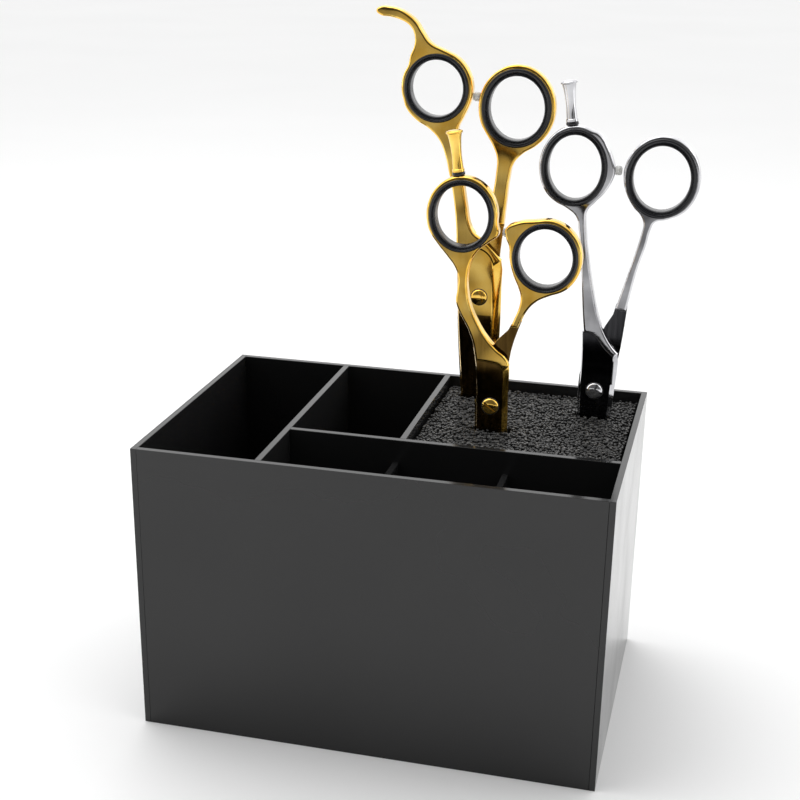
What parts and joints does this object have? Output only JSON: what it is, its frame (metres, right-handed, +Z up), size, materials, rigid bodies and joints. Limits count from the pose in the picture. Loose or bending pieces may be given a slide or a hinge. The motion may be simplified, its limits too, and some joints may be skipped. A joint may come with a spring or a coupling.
{
  "type": "shear holder",
  "caption": "Open desktop organiser of black acrylic sheet with divided bays, a lift-out bristle insert and hairdressing shears standing in the bristles.",
  "frame": {"origin": "centre of the holder's underside, on the surface it stands on", "axes": "+Z up, +X to the right along the front, -Y towards the front"},
  "size_m": [0.1646, 0.102, 0.2287],
  "materials": {
    "acrylic": "polished cast sheet",
    "insert_plastic": "moulded",
    "bristle": "cut nylon ends",
    "gold_plate": "polished titanium-gold plate on steel",
    "chrome_steel": "mirror polished steel",
    "rubber": "soft satin",
    "clear_bumper": "translucent silicone",
    "nylon": "turned"
  },
  "bodies": {
    "holder": {"front_panel": "acrylic", "back_panel": "acrylic", "left_panel": "acrylic", "right_panel": "acrylic", "base_panel": "acrylic", "long_divider": "acrylic", "cross_divider": "acrylic", "rear_divider": "acrylic", "short_divider_left": "acrylic", "short_divider_right": "acrylic"},
    "insert": {"bristle_base": "insert_plastic", "bristle_bundle": "bristle"},
    "gold_back_thumb": {"gold_back_thumb_half": "gold_plate", "gold_back_thumb_insert": "rubber", "gold_back_pivot_screw": "gold_plate", "gold_back_pivot_washer": "nylon", "gold_back_pivot_nut": "gold_plate"},
    "gold_back_finger": {"gold_back_finger_half": "gold_plate", "gold_back_finger_insert": "rubber", "gold_back_bumper": "clear_bumper"},
    "gold_front_thumb": {"gold_front_thumb_half": "gold_plate", "gold_front_thumb_insert": "rubber", "gold_front_pivot_screw": "gold_plate", "gold_front_pivot_washer": "nylon", "gold_front_pivot_nut": "gold_plate"},
    "gold_front_finger": {"gold_front_finger_half": "gold_plate", "gold_front_finger_insert": "rubber", "gold_front_bumper": "clear_bumper", "gold_front_finger_rest": "gold_plate", "gold_front_rest_washer": "rubber"},
    "silver_finger": {"silver_finger_half": "chrome_steel", "silver_finger_insert": "rubber", "silver_bumper": "clear_bumper", "silver_finger_rest": "chrome_steel", "silver_rest_washer": "rubber", "silver_pivot_screw": "chrome_steel", "silver_pivot_washer": "nylon", "silver_pivot_nut": "chrome_steel"},
    "silver_thumb": {"silver_thumb_half": "chrome_steel", "silver_thumb_insert": "rubber"}
  },
  "joints": [
    {"name": "insert_lift", "type": "slide", "parent": "holder", "child": "insert", "axis": [0, 0, 1], "range_m": [0, 0.11]},
    {"name": "gold_back_lift", "type": "slide", "parent": "insert", "child": "gold_back_thumb", "axis": [0, 0, 1], "range_m": [0, 0.075], "deforming": ["bristle_bundle"]},
    {"name": "gold_back_open", "type": "hinge", "parent": "gold_back_thumb", "child": "gold_back_finger", "pos_m": [0.0166, 0.0396, 0.1323], "axis": [0, -1, 0], "range_deg": [0, 40], "deforming": ["bristle_bundle"]},
    {"name": "gold_front_lift", "type": "slide", "parent": "insert", "child": "gold_front_thumb", "axis": [0, 0, 1], "range_m": [0, 0.075], "deforming": ["bristle_bundle"]},
    {"name": "gold_front_open", "type": "hinge", "parent": "gold_front_thumb", "child": "gold_front_finger", "pos_m": [0.0277, 0.0077, 0.1042], "axis": [0, -1, 0], "range_deg": [0, 40], "deforming": ["bristle_bundle"]},
    {"name": "silver_lift", "type": "slide", "parent": "insert", "child": "silver_finger", "axis": [0, 0, 1], "range_m": [0, 0.075], "deforming": ["bristle_bundle"]},
    {"name": "silver_open", "type": "hinge", "parent": "silver_finger", "child": "silver_thumb", "pos_m": [0.0594, 0.0309, 0.1051], "axis": [0, 1, 0], "range_deg": [0, 40], "deforming": ["bristle_bundle"]}
  ]
}
